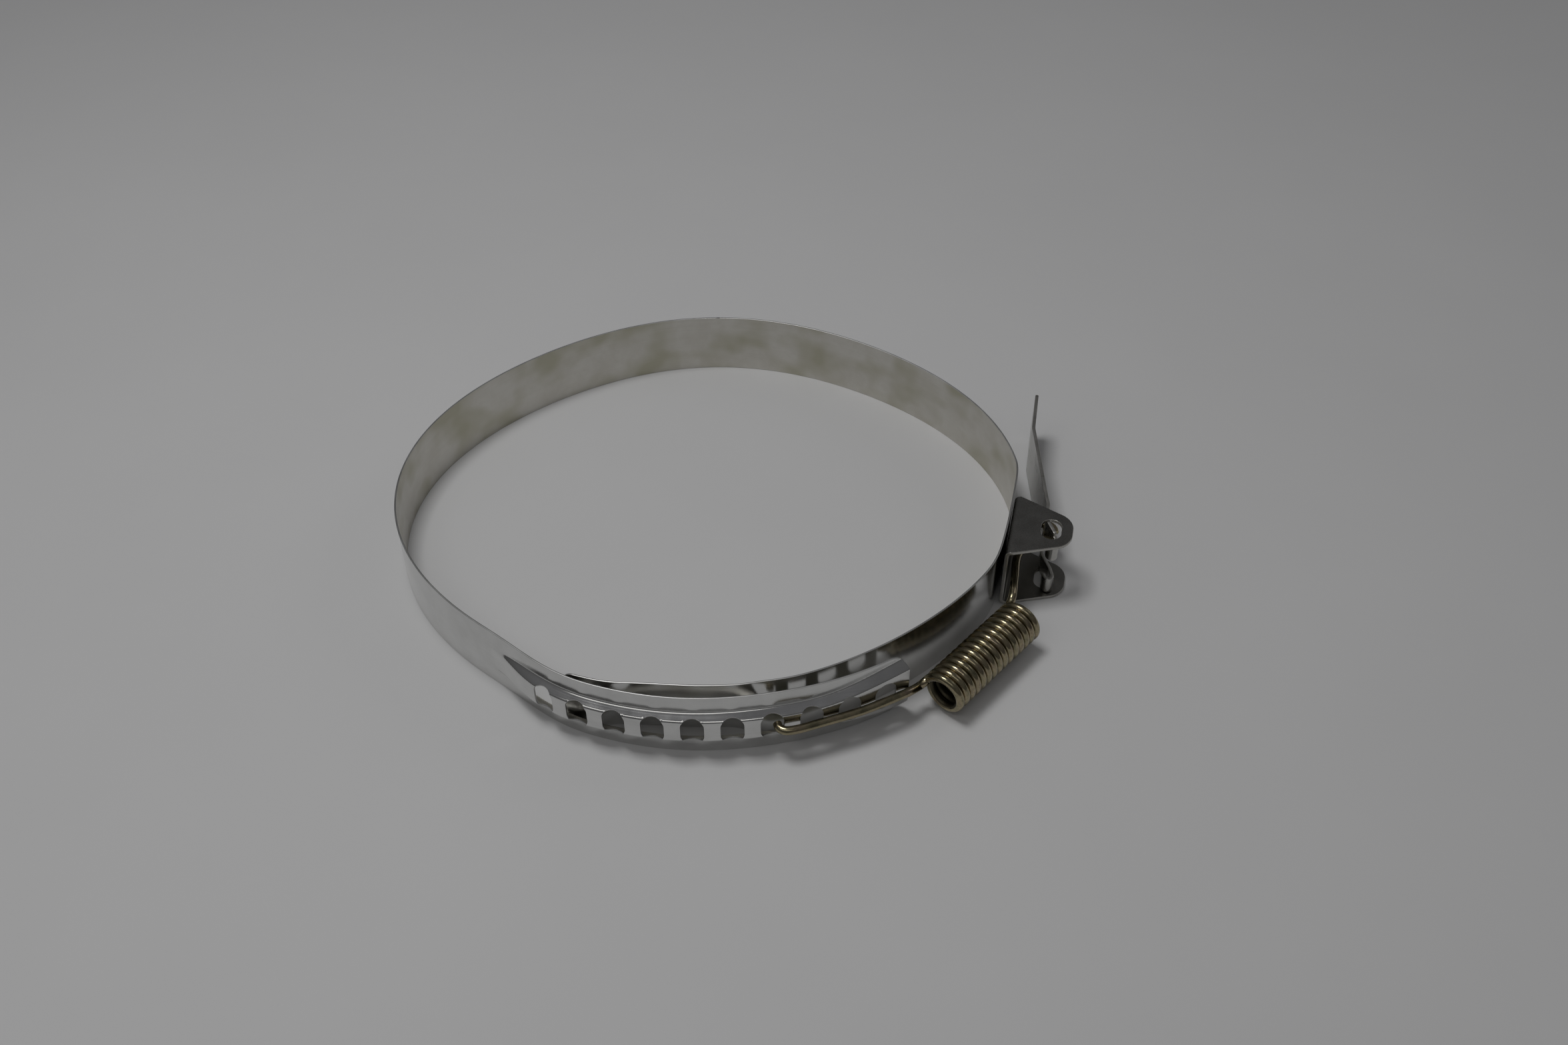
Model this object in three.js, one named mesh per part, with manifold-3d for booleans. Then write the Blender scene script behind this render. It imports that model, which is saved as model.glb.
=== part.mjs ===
// Quick-release band clamp: a springy stainless strip bent into a loose hoop, with an embossed and
// slotted rail at one end, a plain tongue at the other, a lever in a welded bracket, and a tension
// spring that runs from the lever to a slot of the rail.
// Millimetres and degrees. +Z is up, and the hoop lies on its edge on z = 0. The rail is at the front
// (-Y) and the bracket on the right (+X). Hoop angles count anticlockwise from +X.
import * as THREE from "three";
import { mergeVertices } from "three/addons/utils/BufferGeometryUtils.js";
import Module from "manifold-3d";

const wasm = await Module();
wasm.setup();

// Strip and hoop
const BAND_WIDTH = 20;
const BAND_THICKNESS = 0.5;
const HOOP_RADIUS = 83.7;
const HOOP_OVALITY = 4.6;
const HOOP_SQUARENESS = 1.5;
const HOOP_TILT = 1.4;
const HOOP_STEP = 1.5;
const FLEX_ANGLE = 135;
const STRIP_GAP = 0.3;

// Ends of the strip's stretches, as hoop angles
const TONGUE_TIP = -114.8;
const TONGUE_ROOT = -30;
const RAIL_START = -136;
const RAIL_END = -52.9;

// Embossed rail and its slots
const RAIL_RISE = 2.5;
const RAIL_STEP = 1.7;
const FLANGE_HEIGHT = 5.4;
const WEB_HALF = 3.4;
const SLOT_COUNT = 10;
const SLOT_FIRST = -118;
const SLOT_PITCH = 6.72;
const SLOT_WIDTH = 6;
const SLOT_HEIGHT = 9;
const CORNER_RADIUS = 4;

// Bracket
const BRACKET_ANGLE = -13;
const SEAT_DISTANCE = 86.4;
const SEAT_PULL = 1.9;
const SEAT_EASE = 1.2;
const SHEET = 1;
const BRACKET_LENGTH = 24.2;
const EAR_REACH = 17.4;
const LUG_RADIUS = 6;
const LUG_STRAIGHT = 1.3;
const PIVOT_REACH = EAR_REACH - LUG_RADIUS;
const PIVOT_SLOT_RADIUS = 2.9;
const PIVOT_SLOT_PLAY = 1.2;

// Lever
const LEVER_LOW = 1.4;
const LEVER_HIGH = BAND_WIDTH - LEVER_LOW;
const LEVER_TIP_RADIUS = 2.4;
const TAB_WIDTH = 5.2;
const TAB_LOW = 0.2;
const WIRE_WINDOW_HEIGHT = 7.4;

// Spring
const WIRE = 2.33;
const COIL_RADIUS = 5.25;
const COIL_TURNS = 15 - 25 / 360;
const COIL_PITCH = WIRE + 0.1;
const COIL_HEIGHT = 7.6;
const COIL_START = new THREE.Vector3(62.3, -71.9, COIL_HEIGHT);
const COIL_HEADING = 48.5;
const COIL_LEAVE = 30;
const LEG_BEND = 1.6;
const LEG_STEPS = 56;
const COIL_STEPS = 16 * Math.ceil(COIL_TURNS);
const WIRE_SIDES = 8;
const HOOK_SLOT = 6;
const SWIVEL_OFFSET = new THREE.Vector2(0.1, 9);

const radians = THREE.MathUtils.degToRad;
const flat = (points) => points.map(([x, y]) => new THREE.Vector2(x, y));

// Eased step from 0 below low to 1 above high.
const rise = (x, low, high) => THREE.MathUtils.smootherstep(x, low, high);
const fall = (x, low, high) => 1 - rise(x, low, high);

// ---- hoop

// Radius of the loose strip's middle surface. Where the bracket is welded on, the strip is drawn in a
// little and lies straight along the bracket's seat.
function hoopRadius(angle) {
  const lobe = radians(2 * (angle - HOOP_TILT));
  const free = HOOP_RADIUS + HOOP_OVALITY * Math.cos(lobe) + HOOP_SQUARENESS * Math.cos(2 * lobe);
  const away = THREE.MathUtils.euclideanModulo(angle - BRACKET_ANGLE + 180, 360) - 180;
  const drawn = free - SEAT_PULL * fall(Math.abs(away - 1.5), 0, 17);
  if (Math.abs(away) > 30) return drawn;
  const seat = SEAT_DISTANCE / Math.cos(radians(away));
  const near = Math.max(1 - Math.abs(drawn - seat) / SEAT_EASE, 0);
  return Math.min(drawn, seat) - (SEAT_EASE / 4) * near * near;
}

// How far the tongue leaves the hoop: it sags inwards mid-span and springs out to the strip at its tip.
const tongueLift = (angle) => 3.85 * fall(angle, -118, -93) - 1.5 * fall(angle, -92, -68);

// How far the rail end stands outside the hoop.
const railLift = (angle) => 3.5 * rise(angle, -136, -108) + 1.75 * rise(angle, -88, -50);

// The rail's emboss: its depth, the height of each flange and the half height of the web. The emboss
// spreads towards the free end and leaves only narrow flanges there.
const emboss = (angle) => RAIL_RISE * rise(angle, -136, -117);
const flangeHeight = (angle) => FLANGE_HEIGHT - 3.9 * rise(angle, -74, -49);
const webHalf = (angle) => WEB_HALF + 2.5 * rise(angle, -74, -52);

function hoopPoint(angle, lift = 0) {
  const radius = hoopRadius(angle) + lift;
  return new THREE.Vector2(radius * Math.cos(radians(angle)), radius * Math.sin(radians(angle)));
}

// ---- solids

function toSolid(geometry) {
  const bare = geometry.index ? geometry.toNonIndexed() : geometry.clone();
  bare.deleteAttribute("normal");
  bare.deleteAttribute("uv");
  const merged = mergeVertices(bare, 1e-4);
  const mesh = new wasm.Mesh({
    numProp: 3,
    vertProperties: merged.attributes.position.array,
    triVerts: new Uint32Array(merged.index.array),
  });
  return new wasm.Manifold(mesh);
}

function toGeometry(solid) {
  const { vertProperties, triVerts } = solid.getMesh();
  const geometry = new THREE.BufferGeometry();
  geometry.setAttribute("position", new THREE.BufferAttribute(vertProperties, 3));
  geometry.setIndex(new THREE.BufferAttribute(triVerts, 1));
  geometry.computeVertexNormals();
  return geometry;
}

// An outline in the plane of two axes, extruded along the third by the given depth.
function prism(shape, depth, across, up, origin) {
  const along = new THREE.Vector3().crossVectors(across, up);
  const place = new THREE.Matrix4().makeBasis(across, up, along).setPosition(origin);
  const options = { depth, bevelEnabled: false, curveSegments: 10 };
  return new THREE.ExtrudeGeometry(shape, options).applyMatrix4(place);
}

const X = new THREE.Vector3(1, 0, 0);
const Y = new THREE.Vector3(0, 1, 0);
const Z = new THREE.Vector3(0, 0, 1);

// A strip's plan outline: a line of points, thickened evenly to both sides.
function ribbon(points, thickness) {
  const side = (sign) =>
    points.map((point, i) => {
      const before = points[Math.max(i - 1, 0)];
      const after = points[Math.min(i + 1, points.length - 1)];
      const along = after.clone().sub(before).normalize();
      const normal = new THREE.Vector2(along.y, -along.x);
      return point.clone().addScaledVector(normal, (sign * thickness) / 2);
    });
  return new THREE.Shape([...side(1), ...side(-1).reverse()]);
}

// A stretch of plain strip between two hoop angles.
function stripGeometry(from, to, lift = () => 0) {
  const steps = Math.ceil(Math.abs(to - from) / HOOP_STEP);
  const points = Array.from({ length: steps + 1 }, (_, i) => {
    const angle = THREE.MathUtils.lerp(from, to, i / steps);
    return hoopPoint(angle, lift(angle));
  });
  return prism(ribbon(points, BAND_THICKNESS), BAND_WIDTH, X, Y, new THREE.Vector3());
}

// A solid lofted through closed outlines of one length. The first outline's flat form closes the ends.
function loft(outlines, outline2d) {
  const count = outline2d.length;
  const last = (outlines.length - 1) * count;
  const index = [];
  for (let start = 0; start < last; start += count) {
    for (let k = 0; k < count; k++) {
      const a = start + k;
      const b = start + ((k + 1) % count);
      index.push(a, b + count, b, a, a + count, b + count);
    }
  }
  for (const [a, b, c] of THREE.ShapeUtils.triangulateShape(outline2d, [])) {
    index.push(a, b, c, last + c, last + b, last + a);
  }
  const positions = outlines.flat().flatMap((point) => point.toArray());
  const geometry = new THREE.BufferGeometry();
  geometry.setAttribute("position", new THREE.Float32BufferAttribute(positions, 3));
  geometry.setIndex(index);
  return geometry;
}

// ---- hook rail

// The rail's section, as [distance out, height] pairs: flange, wall, web, wall, flange.
function railSection(height, flange, web) {
  const half = BAND_WIDTH / 2;
  const foot = half - flange;
  const skin = BAND_THICKNESS / 2;
  const outside = [
    [skin, -half],
    [skin, -foot],
    [height + skin, -web],
    [height + skin, web],
    [skin, foot],
    [skin, half],
  ];
  const inside = [
    [-skin, half],
    [-skin, foot - BAND_THICKNESS],
    [height - skin, web - BAND_THICKNESS],
    [height - skin, BAND_THICKNESS - web],
    [-skin, BAND_THICKNESS - foot],
    [-skin, -half],
  ];
  return [...outside, ...inside].map(([out, up]) => [out, up + half]);
}

// A slot punched in the flat strip. Past the web its ends wrap on to the walls, so they look shorter.
function slotShape(angle) {
  const web = webHalf(angle);
  const run = BAND_WIDTH / 2 - flangeHeight(angle) - web;
  const wrap = run / Math.hypot(run, RAIL_RISE);
  const radius = SLOT_WIDTH / 2;
  const straight = SLOT_HEIGHT / 2 - radius;
  const arc = Array.from({ length: 9 }, (_, i) => {
    const turn = (Math.PI * i) / 8;
    const up = straight + radius * Math.sin(turn);
    const height = up > web ? web + (up - web) * wrap : up;
    return [radius * Math.cos(turn), height];
  });
  return new THREE.Shape(flat([...arc, ...arc.map(([x, y]) => [-x, -y])]));
}

// What the rounding of both corners takes off the strip's square end.
function endShape() {
  const half = BAND_WIDTH / 2;
  const corner = half - CORNER_RADIUS;
  const end = new THREE.Shape();
  end.moveTo(2, -half - 1);
  end.lineTo(2, half + 1);
  end.lineTo(-CORNER_RADIUS, half + 1);
  end.absarc(-CORNER_RADIUS, corner, CORNER_RADIUS, Math.PI / 2, 0, true);
  end.absarc(-CORNER_RADIUS, -corner, CORNER_RADIUS, 0, -Math.PI / 2, true);
  end.lineTo(-CORNER_RADIUS, -half - 1);
  return end;
}

function railGeometry() {
  const steps = Math.ceil((RAIL_END - RAIL_START) / RAIL_STEP);
  const outlines = Array.from({ length: steps + 1 }, (_, i) => {
    const angle = THREE.MathUtils.lerp(RAIL_START, RAIL_END, i / steps);
    return railSection(emboss(angle), flangeHeight(angle), webHalf(angle)).map(([out, up]) => {
      const { x, y } = hoopPoint(angle, railLift(angle) + out);
      return new THREE.Vector3(x, y, up);
    });
  });
  let rail = toSolid(loft(outlines, flat(railSection(RAIL_RISE, FLANGE_HEIGHT, WEB_HALF))));
  const punch = (shape, angle) => {
    const outwards = new THREE.Vector3(Math.cos(radians(angle)), Math.sin(radians(angle)), 0);
    const across = new THREE.Vector3(-outwards.y, outwards.x, 0);
    const middle = hoopPoint(angle, railLift(angle));
    const start = new THREE.Vector3(middle.x, middle.y, BAND_WIDTH / 2).addScaledVector(outwards, -3);
    rail = rail.subtract(toSolid(prism(shape, 8, across, Z, start)));
  };
  for (let i = 0; i < SLOT_COUNT; i++) punch(slotShape(slotAngle(i)), slotAngle(i));
  punch(endShape(), RAIL_END - 0.1);
  return toGeometry(rail);
}

function slotAngle(i) {
  return SLOT_FIRST + i * SLOT_PITCH;
}

// ---- latch bracket: x is out from the strip, y along it, z up

function bracketGeometry() {
  const half = BRACKET_LENGTH / 2;
  const bend = 1.6;
  const channel = new THREE.Shape();
  channel.moveTo(EAR_REACH, 0);
  channel.lineTo(EAR_REACH, SHEET);
  channel.lineTo(bend, SHEET);
  channel.absarc(bend, bend, bend - SHEET, -Math.PI / 2, Math.PI, true);
  channel.lineTo(SHEET, BAND_WIDTH - bend);
  channel.absarc(bend, BAND_WIDTH - bend, bend - SHEET, Math.PI, Math.PI / 2, true);
  channel.lineTo(EAR_REACH, BAND_WIDTH - SHEET);
  channel.lineTo(EAR_REACH, BAND_WIDTH);
  channel.lineTo(bend, BAND_WIDTH);
  channel.absarc(bend, BAND_WIDTH - bend, bend, Math.PI / 2, Math.PI, false);
  channel.lineTo(0, bend);
  channel.absarc(bend, bend, bend, Math.PI, 1.5 * Math.PI, false);
  const folded = toSolid(prism(channel, BRACKET_LENGTH, X, Z, new THREE.Vector3(0, half, 0)));

  const lean = radians(19);
  const ear = new THREE.Shape();
  ear.moveTo(-1, -half);
  ear.lineTo(1, -half);
  ear.absarc(PIVOT_REACH, -LUG_STRAIGHT, LUG_RADIUS, lean - Math.PI / 2, 0, false);
  ear.absarc(PIVOT_REACH, LUG_STRAIGHT, LUG_RADIUS, 0, Math.PI / 2 - lean, false);
  ear.lineTo(1, half);
  ear.lineTo(-1, half);
  const outline = toSolid(prism(ear, BAND_WIDTH + 2, X, Y, new THREE.Vector3(0, 0, -1)));

  const hole = new THREE.Shape();
  hole.absarc(PIVOT_REACH, PIVOT_SLOT_PLAY, PIVOT_SLOT_RADIUS, 0, Math.PI, false);
  hole.absarc(PIVOT_REACH, -PIVOT_SLOT_PLAY, PIVOT_SLOT_RADIUS, Math.PI, 2 * Math.PI, false);
  const drill = toSolid(prism(hole, BAND_WIDTH + 2, X, Y, new THREE.Vector3(0, 0, -1)));
  return toGeometry(folded.intersect(outline).subtract(drill));
}

// ---- lever: the origin is the pivot, y points back along the handle, z is up

// The sheet's middle line from the curled root, through the pivot, to the turned-out tip.
const LEVER_LINE = flat([
  [-1.4, -4.4],
  [-1.4, -6],
  [-0.3, -7],
  [0.9, -6.3],
  [0.7, -2.7],
  [0, 0],
  [-0.9, 3.6],
  [-0.4, 6.5],
  [0.6, 11],
  [0.5, 15],
  [0.6, 45.8],
  [3.9, 63.4],
]);

function leverGeometry() {
  const [tip] = LEVER_LINE.slice(-1);
  const [root] = LEVER_LINE;
  const sheet = toSolid(prism(ribbon(LEVER_LINE, SHEET), BAND_WIDTH, X, Y, new THREE.Vector3()));

  // Side view: full height with a rounded tip, a window for the spring wire and a hole for its hook.
  const side = new THREE.Shape();
  const reach = tip.y - LEVER_TIP_RADIUS + 0.1;
  side.moveTo(root.y - 4, LEVER_LOW);
  side.lineTo(reach, LEVER_LOW);
  side.absarc(reach, LEVER_LOW + LEVER_TIP_RADIUS, LEVER_TIP_RADIUS, -Math.PI / 2, 0, false);
  side.absarc(reach, LEVER_HIGH - LEVER_TIP_RADIUS, LEVER_TIP_RADIUS, 0, Math.PI / 2, false);
  side.lineTo(root.y - 4, LEVER_HIGH);
  const trim = toSolid(prism(side, 40, Y, Z, new THREE.Vector3(-20, 0, 0)));

  const middle = BAND_WIDTH / 2;
  const opening = (from, to, height) => {
    const box = new THREE.BoxGeometry(30, to - from, height);
    return toSolid(box.translate(0, (from + to) / 2, middle));
  };
  const windowEnd = SWIVEL_OFFSET.y - 1.4;
  const window = opening(-20, windowEnd, WIRE_WINDOW_HEIGHT);
  const hookHole = opening(SWIVEL_OFFSET.y + 1.3, SWIVEL_OFFSET.y + 4.8, 4);

  // Two tabs of the sheet stand through the bracket's slots and turn in them.
  const tabs = new THREE.BoxGeometry(SHEET, TAB_WIDTH, BAND_WIDTH - 2 * TAB_LOW);
  tabs.rotateZ(radians(15.5)).translate(0, 0, middle);
  const between = new THREE.BoxGeometry(30, 60, BAND_WIDTH - 2 * LEVER_LOW - 1).translate(0, 0, middle);
  const tabEnds = toSolid(tabs).subtract(toSolid(between));
  return toGeometry(sheet.intersect(trim).add(tabEnds).subtract(window).subtract(hookHole));
}

// ---- spring

const heading = radians(COIL_HEADING);
const coilAxis = new THREE.Vector3(Math.cos(heading), Math.sin(heading), 0);
const coilSide = new THREE.Vector3(-coilAxis.y, coilAxis.x, 0);

// A point of the coil's middle line, a number of turns from its rail end. Turns run over the top.
function coilPoint(turns) {
  const turn = radians(COIL_LEAVE) + 2 * Math.PI * turns;
  return COIL_START.clone()
    .addScaledVector(coilAxis, COIL_PITCH * turns)
    .addScaledVector(coilSide, COIL_RADIUS * Math.cos(turn))
    .addScaledVector(Z, COIL_RADIUS * Math.sin(turn));
}

class CoilCurve extends THREE.Curve {
  getPoint(t, target = new THREE.Vector3()) {
    return target.copy(coilPoint(t * COIL_TURNS));
  }
}

function wireGeometry(curve, steps) {
  const section = new THREE.Shape();
  section.absarc(0, 0, WIRE / 2, 0, 2 * Math.PI, false);
  const options = { steps, curveSegments: WIRE_SIDES / 2, extrudePath: curve };
  return toGeometry(toSolid(new THREE.ExtrudeGeometry(section, options)));
}

const swivel = () => pivotPoint().add(SWIVEL_OFFSET);

// From the slot of the rail, along the rail's outside, to the coil.
function hookLegCurve() {
  const angle = slotAngle(HOOK_SLOT);
  const out = (lift, aside, height) => {
    const point = hoopPoint(angle + aside, railLift(angle + aside) + RAIL_RISE + lift);
    return new THREE.Vector3(point.x, point.y, height);
  };
  // The leg turns from the coil's axis into its first turn.
  const along = coilPoint(0.01).sub(coilPoint(-0.01)).normalize();
  const end = coilPoint(0).addScaledVector(along, -STRIP_GAP);
  const bend = (degrees) =>
    end
      .clone()
      .addScaledVector(along, -0.6 - LEG_BEND * (1 - Math.sin(radians(degrees))))
      .addScaledVector(coilAxis, -LEG_BEND * Math.cos(radians(degrees)));
  return new THREE.CatmullRomCurve3(
    [
      out(-0.6, 0.9, 10),
      out(0.8, 1, 10),
      out(2, 1.8, 10),
      out(2.3, 3.4, 10),
      out(1.85, 8, 10),
      out(1.8, 15, 10),
      new THREE.Vector3(50.6, -74.9, 10),
      new THREE.Vector3(53.6, -72.9, 9.6),
      bend(0),
      bend(30),
      bend(60),
      bend(90),
      end,
    ],
    false,
    "centripetal",
  );
}

// From the coil, between the bracket's ears, to the hook round the lever's bar.
function tailLegCurve() {
  const end = COIL_TURNS + 0.3 / (2 * Math.PI * COIL_RADIUS);
  const { x, y } = swivel();
  const hook = (turn) => {
    const angle = radians(turn);
    return new THREE.Vector3(x + 3 * Math.cos(angle), y + 3 * Math.sin(angle), 10);
  };
  return new THREE.CatmullRomCurve3(
    [
      coilPoint(end),
      coilPoint(end + 0.06),
      new THREE.Vector3(83.4, -41, 11),
      new THREE.Vector3(83.9, -39.6, 11.7),
      new THREE.Vector3(85.25, -32.7, 11.6),
      new THREE.Vector3(87.1, -23.6, 11),
      new THREE.Vector3(90.6, -17.4, 10.3),
      hook(200),
      hook(145),
      hook(90),
      hook(35),
      hook(-10),
    ],
    false,
    "centripetal",
  );
}

// ---- assembly

function seatPoint(out, along = 0) {
  const point = new THREE.Vector2(SEAT_DISTANCE + BAND_THICKNESS / 2 + STRIP_GAP + out, along);
  return point.rotateAround(new THREE.Vector2(), radians(BRACKET_ANGLE));
}

function pivotPoint() {
  return seatPoint(PIVOT_REACH, PIVOT_SLOT_PLAY);
}

const steel = { color: 0xb9bab8, roughness: 0.22, metalness: 1 };
const dullSteel = { color: 0x77736e, roughness: 0.5, metalness: 1 };
const zincYellow = { color: 0xa08c52, roughness: 0.3, metalness: 1 };

const clamp = new THREE.Group();

function addPart(name, geometry, finish, at = new THREE.Vector2(), turn = 0) {
  const mesh = new THREE.Mesh(geometry, new THREE.MeshStandardMaterial(finish));
  mesh.name = name;
  mesh.position.set(at.x, at.y, 0);
  mesh.rotation.z = radians(turn);
  clamp.add(mesh);
}

const halfGap = THREE.MathUtils.radToDeg(STRIP_GAP / 2 / HOOP_RADIUS);
const flexBack = FLEX_ANGLE - 360 + halfGap;
addPart("tongue_strip", stripGeometry(TONGUE_TIP, TONGUE_ROOT - halfGap, tongueLift), steel);
addPart("band_latch_side", stripGeometry(TONGUE_ROOT + halfGap, FLEX_ANGLE - halfGap), steel);
addPart("band_rail_side", stripGeometry(flexBack, RAIL_START - halfGap), steel);
addPart("hook_rail", railGeometry(), steel);
addPart("latch_bracket", bracketGeometry(), dullSteel, seatPoint(0), BRACKET_ANGLE);
addPart("lever", leverGeometry(), dullSteel, pivotPoint());
addPart("spring_coil", wireGeometry(new CoilCurve(), COIL_STEPS), zincYellow);
addPart("spring_hook_leg", wireGeometry(hookLegCurve(), LEG_STEPS), zincYellow);
addPart("spring_tail_leg", wireGeometry(tailLegCurve(), LEG_STEPS), zincYellow);

// The finished part's origin is the middle of its footprint.
const footprint = new THREE.Box3().setFromObject(clamp, true);
const centre = footprint.getCenter(new THREE.Vector3());
clamp.children.forEach((mesh) => mesh.position.sub(new THREE.Vector3(centre.x, centre.y, 0)));

export default clamp;
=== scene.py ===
"""Looks of the quick-release band clamp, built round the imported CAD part.

Shapes are worked out in millimetres about the hoop's centre and placed in the row frame in metres.
Hoop angles count anticlockwise from +X; the rail is at the front and the lever on the right.
"""
import math

import bpy
import numpy as np
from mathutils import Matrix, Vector, geometry


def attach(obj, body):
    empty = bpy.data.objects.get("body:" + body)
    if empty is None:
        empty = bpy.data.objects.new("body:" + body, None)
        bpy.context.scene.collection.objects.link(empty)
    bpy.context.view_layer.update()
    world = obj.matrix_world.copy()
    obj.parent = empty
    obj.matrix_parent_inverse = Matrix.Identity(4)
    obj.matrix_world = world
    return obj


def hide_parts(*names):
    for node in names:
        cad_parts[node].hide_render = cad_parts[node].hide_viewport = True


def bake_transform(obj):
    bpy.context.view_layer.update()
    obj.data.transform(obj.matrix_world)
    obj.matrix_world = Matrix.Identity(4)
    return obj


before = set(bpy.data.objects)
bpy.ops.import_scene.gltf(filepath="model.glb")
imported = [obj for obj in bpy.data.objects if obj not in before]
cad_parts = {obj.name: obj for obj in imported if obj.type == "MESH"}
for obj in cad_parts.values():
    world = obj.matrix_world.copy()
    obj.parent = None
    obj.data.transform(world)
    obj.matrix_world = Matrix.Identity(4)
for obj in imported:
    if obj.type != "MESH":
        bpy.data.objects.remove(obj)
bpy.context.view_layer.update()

MM = 0.001

# Middle of the hoop in the row frame, in millimetres
HOOP_CENTRE = np.array([-6.042, 3.245, 0.0])

# Strip, standing on its edge. PER_DEGREE is its length for a degree of hoop angle in flat outlines,
# and EDGE is the room that they leave for a rounded rim.
WIDTH = 20.0
MIDDLE = WIDTH / 2
STRIP = 0.5
EDGE = 0.1
PER_DEGREE = 1.508
HOOP_RADIUS = 83.7
HOOP_OVALITY = 4.6
HOOP_SQUARENESS = 1.5
HOOP_TILT = 1.4

# Where the strip's stretches end and the rail's forming starts, as hoop angles
TONGUE_TIP = -114.8
SEAM = 90.0
RAIL_FORMED = 222
RAIL_END = 360 - 52.9

# Tongue and rail, with the slots as hoop angles
TONGUE_LEAN = math.radians(10)
FLANGE_HEIGHT = 5.4
WEB_HALF = 3.4
RISE = 2.5
WEB_BEND = 0.5
FOOT_BEND = 0.75
SLOTS = [-118 + 6.72 * i for i in range(10)]

# Straight seat of the bracket on the strip, and the spot welds as places along it and up it
SEAT_ANGLE = -13.0
SEAT_DISTANCE = 86.4
SEAT_PULL = 1.9
SEAT_SHIFT = 1.5
SEAT_SPREAD = 17
SEAT_EASE = 1.2
WELDS = [(along, up) for along in (-4.6, 4.2) for up in (5.6, 14.4)]

# Bracket and lever. REACH and PIVOT are measured out from the bracket's face on the strip, and
# SHEET_RIM is the room that its flat outline leaves for a rounded rim.
STRIP_GAP = 0.3
SEAT_OUT = SEAT_DISTANCE + STRIP / 2 + STRIP_GAP
SHEET = 1.0
SHEET_RIM = 0.15
BRACKET_LENGTH = 24.2
REACH = 17.4
LUG = 6.0
LUG_STRAIGHT = 1.3
LUG_LEAN = 19
PIVOT = 11.4
PLAY = 1.2
HOLE_RADIUS = 2.95

# Spring
WIRE = 2.33
COIL_RADIUS = 5.25
COIL_TURNS = 15 - 25 / 360
COIL_PITCH = WIRE + 0.1
COIL_START = np.array([62.3, -71.9, 7.6])
COIL_LEAVE = 30.0
HEADING = math.radians(48.5)
COIL_AXIS = np.array([math.cos(HEADING), math.sin(HEADING), 0.0])
COIL_SIDE = np.array([-COIL_AXIS[1], COIL_AXIS[0], 0.0])
UP = np.array([0.0, 0.0, 1.0])
HOOKED_SLOT = 6
TAIL_HOOK = 3


# ---------------------------------------------------------------- hoop

def rise(x, low, high):
    """Eased step from 0 below low to 1 above high."""
    t = np.clip((np.asarray(x, float) - low) / (high - low), 0, 1)
    return t ** 3 * (t * (6 * t - 15) + 10)


def hoop_radius(angle):
    """Radius of the loose strip's middle, drawn in and straight where the bracket is welded on."""
    lobe = np.radians(2 * (angle - HOOP_TILT))
    free = HOOP_RADIUS + HOOP_OVALITY * np.cos(lobe) + HOOP_SQUARENESS * np.cos(2 * lobe)
    away = (angle - SEAT_ANGLE + 180) % 360 - 180
    drawn = free - SEAT_PULL * (1 - rise(np.abs(away - SEAT_SHIFT), 0, SEAT_SPREAD))
    seat = SEAT_DISTANCE / np.cos(np.radians(np.clip(away, -60, 60)))
    near = np.clip(1 - np.abs(drawn - seat) / SEAT_EASE, 0, None)
    eased = np.minimum(drawn, seat) - SEAT_EASE / 4 * near * near
    return np.where(np.abs(away) > 30, drawn, eased)


def tongue_lift(angle):
    """How far the tongue leaves the hoop: in mid-span, and out at its tip."""
    return 3.85 * (1 - rise(angle, -118, -93)) - 1.5 * (1 - rise(angle, -92, -68))


def rail_lift(angle):
    """How far the rail end stands outside the hoop."""
    return 3.5 * rise(angle, -136, -108) + 1.75 * rise(angle, -88, -50)


def emboss(angle):
    """How far the rail's web stands out of its flanges."""
    return RISE * rise(angle, -136, -117)


def wall_edges(angle):
    """Half heights at the foot and at the top of the emboss, which spreads towards the free end."""
    foot = MIDDLE - (FLANGE_HEIGHT - 3.9 * rise(angle, -74, -49))
    return foot, WEB_HALF + 2.5 * rise(angle, -74, -52)


def hoop_point(angle, lift, z):
    """Points at hoop angles, lifted outwards from the hoop."""
    radius = hoop_radius(angle) + lift
    turn = np.radians(angle)
    return np.column_stack([radius * np.cos(turn), radius * np.sin(turn), z])


def eased_corner(x, width):
    """0 below 0 and x above it, with a rounded corner of that width."""
    return np.where(x < -width / 2, 0.0, np.where(x > width / 2, x, (x + width / 2) ** 2 / (2 * width)))


def latch_surface(uv):
    """Middle of the tongue and the latch side; u is the hoop angle and v the height."""
    dent_depth, dent_radius = 0.16, 1.15
    lip_height, lip_radius, lip_width = 0.05, 1.5, 0.35
    angle, z = uv[:, 0], uv[:, 1]
    leaning = rise(angle, -114, -104) * (1 - rise(angle, -86, -76))
    lift = tongue_lift(angle) + leaning * (math.tan(TONGUE_LEAN) * (z - MIDDLE) - 1)
    for along, up in WELDS:
        spot = SEAT_ANGLE + math.degrees(along / SEAT_DISTANCE)
        away = np.hypot((angle - spot) * PER_DEGREE, z - up)
        dent = dent_depth * np.exp(-((away / dent_radius) ** 4))
        lip = lip_height * np.exp(-(((away - lip_radius) / lip_width) ** 2))
        lift = lift - dent + lip
    return hoop_point(angle, lift, z)


def rail_surface(uv):
    """Middle of the back left, the left side and the embossed rail."""
    angle, z = uv[:, 0] - 360, uv[:, 1]
    foot, web = wall_edges(angle)
    up = np.abs(z - MIDDLE)
    down = (eased_corner(up - web, WEB_BEND) - eased_corner(up - foot, FOOT_BEND)) / (foot - web)
    return hoop_point(angle, rail_lift(angle) + emboss(angle) * (1 - down), z)


# ---------------------------------------------------------------- meshes

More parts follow.
